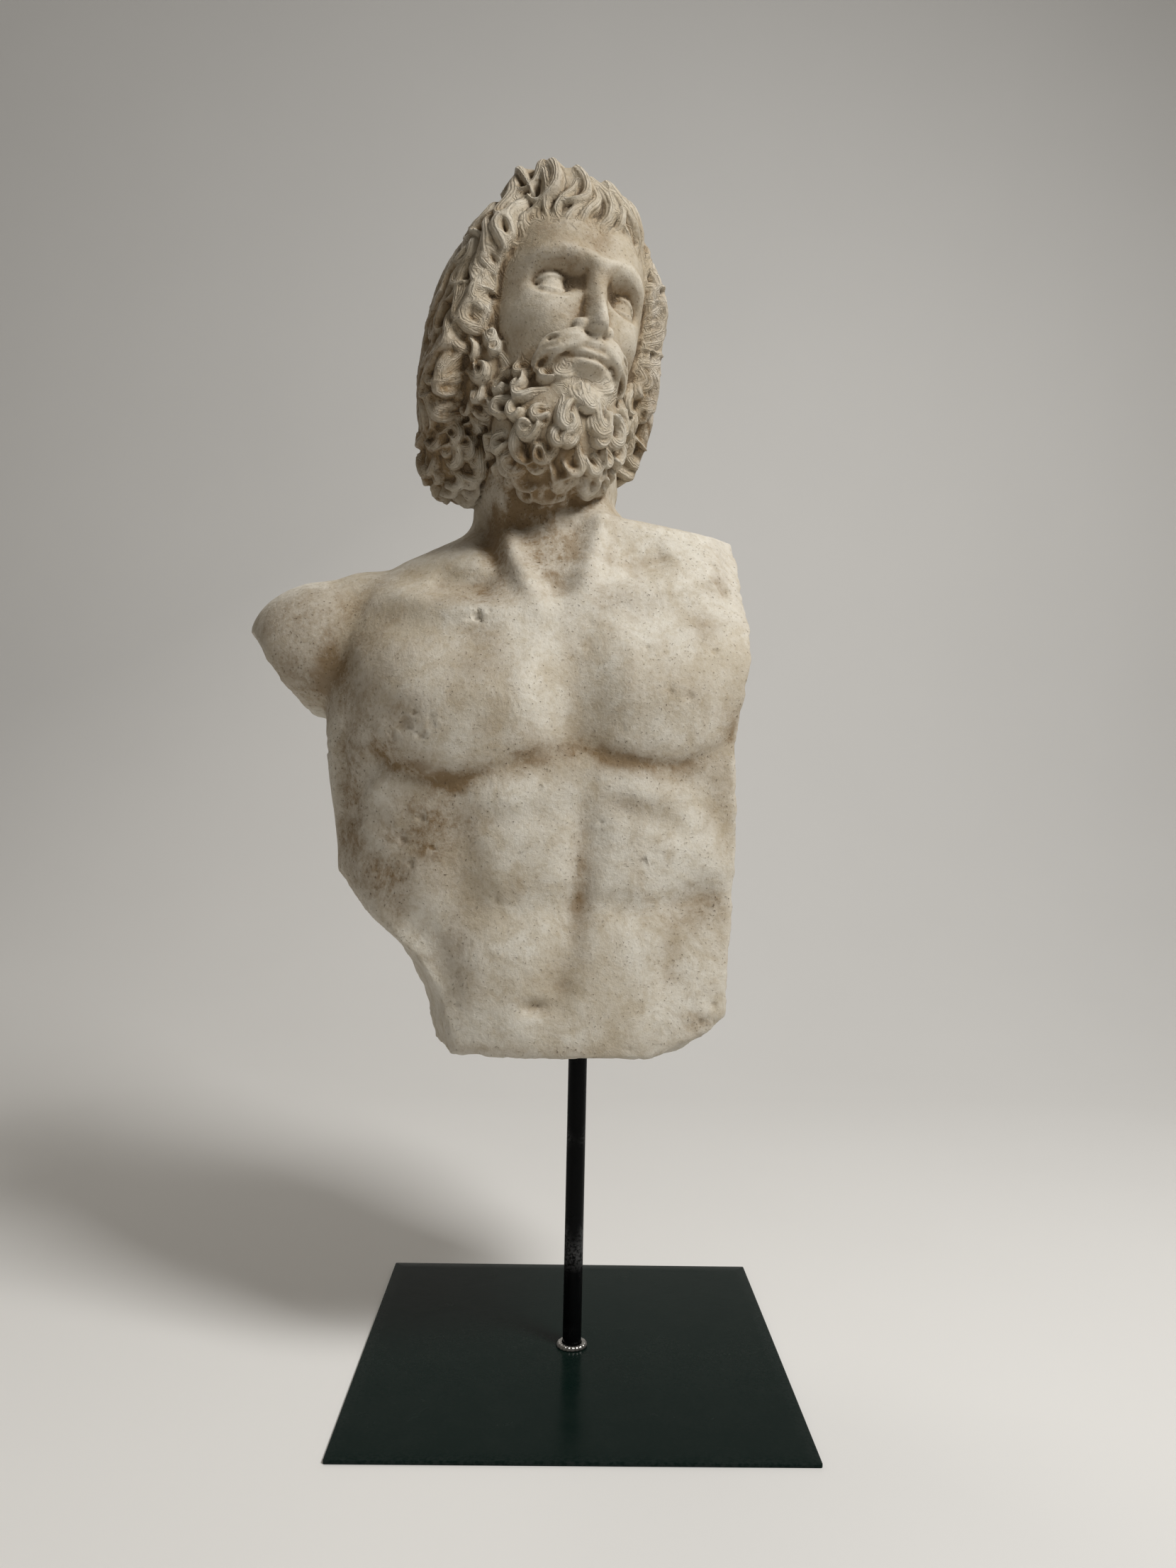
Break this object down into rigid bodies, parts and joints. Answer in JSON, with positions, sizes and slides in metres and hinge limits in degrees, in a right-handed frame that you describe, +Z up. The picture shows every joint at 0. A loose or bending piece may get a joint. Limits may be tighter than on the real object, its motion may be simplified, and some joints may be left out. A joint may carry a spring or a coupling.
{
  "type": "portrait bust on stand",
  "caption": "Life-size bearded male bust with bare broken torso, held by a round rod over a flat square steel plate.",
  "frame": {"origin": "middle of the base plate's underside, on the rod's axis", "axes": "+Z up along the rod, -Y to the front of the torso, +X to the side of the flat shoulder cut"},
  "size_m": [0.4657, 0.35, 0.9979],
  "materials": {
    "aged_plaster": "matt, stained brown in the hollows",
    "rod_steel": "black satin",
    "plate_steel": "black gloss",
    "weld_metal": "bare weld"
  },
  "bodies": {
    "root": {"bust": "aged_plaster", "support_rod": "rod_steel", "base_plate": "plate_steel", "weld_bead": "weld_metal"}
  },
  "joints": []
}
